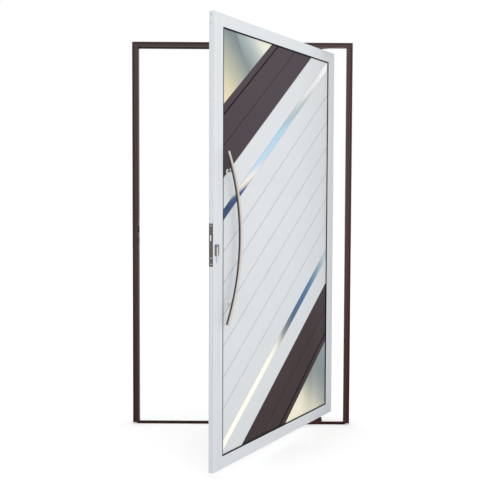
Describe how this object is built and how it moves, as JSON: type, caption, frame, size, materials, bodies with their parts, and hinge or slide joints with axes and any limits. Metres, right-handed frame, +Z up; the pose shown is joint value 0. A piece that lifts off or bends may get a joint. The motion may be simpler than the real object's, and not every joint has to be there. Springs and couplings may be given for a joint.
{
  "type": "pivot door",
  "caption": "Aluminium pivot door with a diagonally boarded leaf, glass corners, bowed pull bars and a mortice lock, standing open in its frame.",
  "frame": {"origin": "middle of the sill's underside, halfway through the frame's depth", "axes": "+X along the wall towards the pivot side, +Y through the wall to the back, +Z up"},
  "size_m": [1.2, 0.9765, 2.1],
  "materials": {
    "brown_frame_paint": "satin brown powder coat on aluminium",
    "brown_board_paint": "satin brown powder coat on aluminium",
    "white_paint": "satin white powder coat on aluminium",
    "black_rubber": "matt black glazing rubber",
    "reflective_glass": "reflective tinted glass",
    "polished_strip": "mirror polished strip",
    "satin_steel": "satin stainless steel",
    "lock_steel": "dull steel",
    "zinc_plate": "zinc plated steel",
    "chrome_plate": "chromed casting",
    "bush_plastic": "black acetal"
  },
  "bodies": {
    "frame": {"lock_jamb": "brown_frame_paint", "pivot_jamb": "brown_frame_paint", "head": "brown_frame_paint", "sill": "brown_frame_paint", "strike_box": "zinc_plate", "pivot_block": "brown_frame_paint", "bottom_pivot_pin": "lock_steel", "top_pivot_pin": "lock_steel"},
    "leaf": {"lock_stile": "white_paint", "pivot_stile": "white_paint", "top_rail": "white_paint", "bottom_rail": "white_paint", "top_pivot_bush": "bush_plastic", "bottom_pivot_bush": "bush_plastic", "front_gasket": "black_rubber", "back_gasket": "black_rubber", "upper_glass": "reflective_glass", "lower_glass": "reflective_glass", "upper_glass_bead": "white_paint", "lower_glass_bead": "white_paint", "upper_dark_trim": "brown_board_paint", "lower_dark_trim": "brown_board_paint", "upper_dark_board_1": "brown_board_paint", "lower_dark_board_1": "brown_board_paint", "upper_dark_board_2": "brown_board_paint", "lower_dark_board_2": "brown_board_paint", "upper_white_board": "white_paint", "lower_white_board": "white_paint", "upper_mirror_strip": "polished_strip", "lower_mirror_strip": "polished_strip", "plain_board_1": "white_paint", "plain_board_2": "white_paint", "plain_board_3": "white_paint", "plain_board_4": "white_paint", "plain_board_5": "white_paint", "plain_board_6": "white_paint", "plain_board_7": "white_paint", "front_pull_bar": "satin_steel", "back_pull_bar": "satin_steel", "pull_bar_posts": "satin_steel", "lock_case": "lock_steel", "rosettes": "chrome_plate", "lock_cylinder": "chrome_plate"},
    "latch": {"latch_bolt": "lock_steel"},
    "bolt": {"dead_bolt": "lock_steel"},
    "cover": {"keyhole_cover": "chrome_plate"}
  },
  "joints": [
    {"name": "leaf_pivot", "type": "hinge", "parent": "frame", "child": "leaf", "pos_m": [0.429, 0, 0.0375], "axis": [0, 0, 1], "range_deg": [-58.5, 31.5]},
    {"name": "latch_slide", "type": "slide", "parent": "leaf", "child": "latch", "axis": [0.5225, 0.8526, 0], "range_m": [0, 0.0098], "stiffness_N_per_m": 300, "springref_m": -0.01},
    {"name": "bolt_slide", "type": "slide", "parent": "leaf", "child": "bolt", "axis": [-0.5225, -0.8526, 0], "range_m": [0, 0.011]},
    {"name": "cover_swing", "type": "hinge", "parent": "leaf", "child": "cover", "pos_m": [-0.06176, -0.8328, 1.0455], "axis": [0.8526, -0.5225, 0], "range_deg": [-15, 75]}
  ]
}
